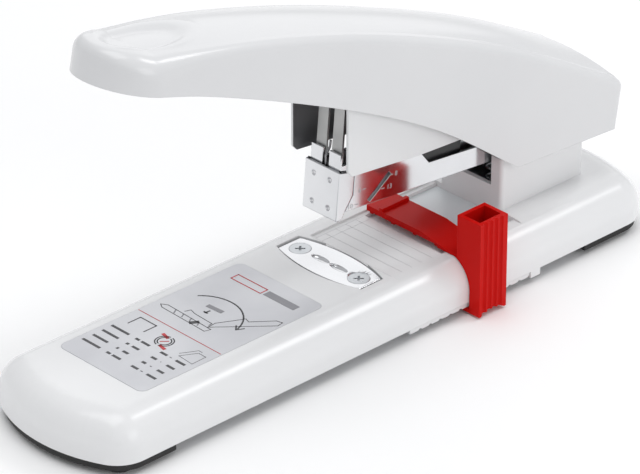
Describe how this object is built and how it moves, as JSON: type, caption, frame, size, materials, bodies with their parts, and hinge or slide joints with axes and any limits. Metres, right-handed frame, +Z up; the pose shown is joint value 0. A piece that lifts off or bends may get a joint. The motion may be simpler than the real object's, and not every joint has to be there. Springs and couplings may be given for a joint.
{
  "type": "heavy duty stapler",
  "caption": "Desk stapler with a long curved lever, a tilting staple magazine, a clinching anvil on a flat base and a sliding paper depth stop.",
  "frame": {"origin": "on the desk, straight below the hinge pin, on the centre plane", "axes": "+X to the rear, along the base; +Z up; the nose of the lever points to -X"},
  "size_m": [0.272, 0.0734, 0.1432],
  "materials": {
    "white_plastic": "satin moulded, fine grain",
    "white_paint": "satin powder coat",
    "zinc_steel": "bright zinc plated",
    "driver_steel": "ground, matt",
    "spring_steel": "drawn wire",
    "staple_wire": "galvanised wire",
    "chrome_steel": "bright chrome",
    "grey_sheet": "satin",
    "foil": "printed foil",
    "rubber": "matt",
    "black_plastic": "satin",
    "red_plastic": "satin moulded"
  },
  "bodies": {
    "base": {"base_cover": "white_plastic", "base_plate": "zinc_steel", "base_screws": "zinc_steel", "front_foot": "rubber", "rear_foot": "rubber", "anvil_plate": "chrome_steel", "anvil_screws": "zinc_steel", "anvil_block": "zinc_steel", "guide_sheet": "grey_sheet", "base_label": "foil", "hinge_bracket": "zinc_steel", "bracket_rivets": "zinc_steel", "magazine_lift_spring": "spring_steel"},
    "pivot": {"hinge_pin": "zinc_steel", "hinge_clips": "spring_steel", "torsion_spring": "spring_steel"},
    "handle": {"handle_cover": "white_plastic", "lever_frame": "white_paint", "press_bar": "zinc_steel", "lever_bushes": "black_plastic", "cover_screws": "zinc_steel"},
    "magazine": {"magazine_channel": "chrome_steel", "head_cap": "chrome_steel", "head_guide": "chrome_steel", "spring_hook": "spring_steel", "staple_rail": "zinc_steel", "pusher_rod": "zinc_steel", "pusher_spring": "spring_steel", "staple_strip": "staple_wire", "magazine_rivets": "zinc_steel"},
    "pusher": {"staple_pusher": "black_plastic"},
    "driver": {"driver_blade": "driver_steel", "driver_crosshead": "driver_steel", "driver_rivets": "zinc_steel"},
    "stop": {"depth_stop": "red_plastic", "detent_leaf": "spring_steel"}
  },
  "joints": [
    {"name": "press", "type": "hinge", "parent": "base", "child": "pivot", "pos_m": [0, 0, 0.0575], "axis": [0, 1, 0], "range_deg": [-20, 0], "stiffness_Nm_per_rad": 1.2, "springref_deg": 22.92, "deforming": ["magazine_lift_spring"]},
    {"name": "handle_open", "type": "hinge", "parent": "pivot", "child": "handle", "pos_m": [0, 0, 0.0575], "axis": [0, 1, 0], "range_deg": [0, 135]},
    {"name": "magazine_tilt", "type": "hinge", "parent": "base", "child": "magazine", "pos_m": [0, 0, 0.0575], "axis": [0, 1, 0], "range_deg": [-10.8, 0], "stiffness_Nm_per_rad": 0.4, "springref_deg": 17.19},
    {"name": "driver_slide", "type": "slide", "parent": "magazine", "child": "driver", "axis": [0.0872, 0, 0.9962], "range_m": [-0.01725, 0]},
    {"name": "pusher_slide", "type": "slide", "parent": "magazine", "child": "pusher", "axis": [0.9962, 0, -0.0872], "range_m": [0, 0.026], "stiffness_N_per_m": 60, "springref_m": -0.03, "deforming": ["pusher_spring"]},
    {"name": "stop_slide", "type": "slide", "parent": "base", "child": "stop", "axis": [1, 0, 0], "range_m": [-0.024, 0.018]}
  ],
  "couplings": [
    {"joint": "magazine_tilt", "follows": "press", "ratio": 0.535},
    {"joint": "driver_slide", "follows": "press", "m_per_rad": 0.04927}
  ]
}
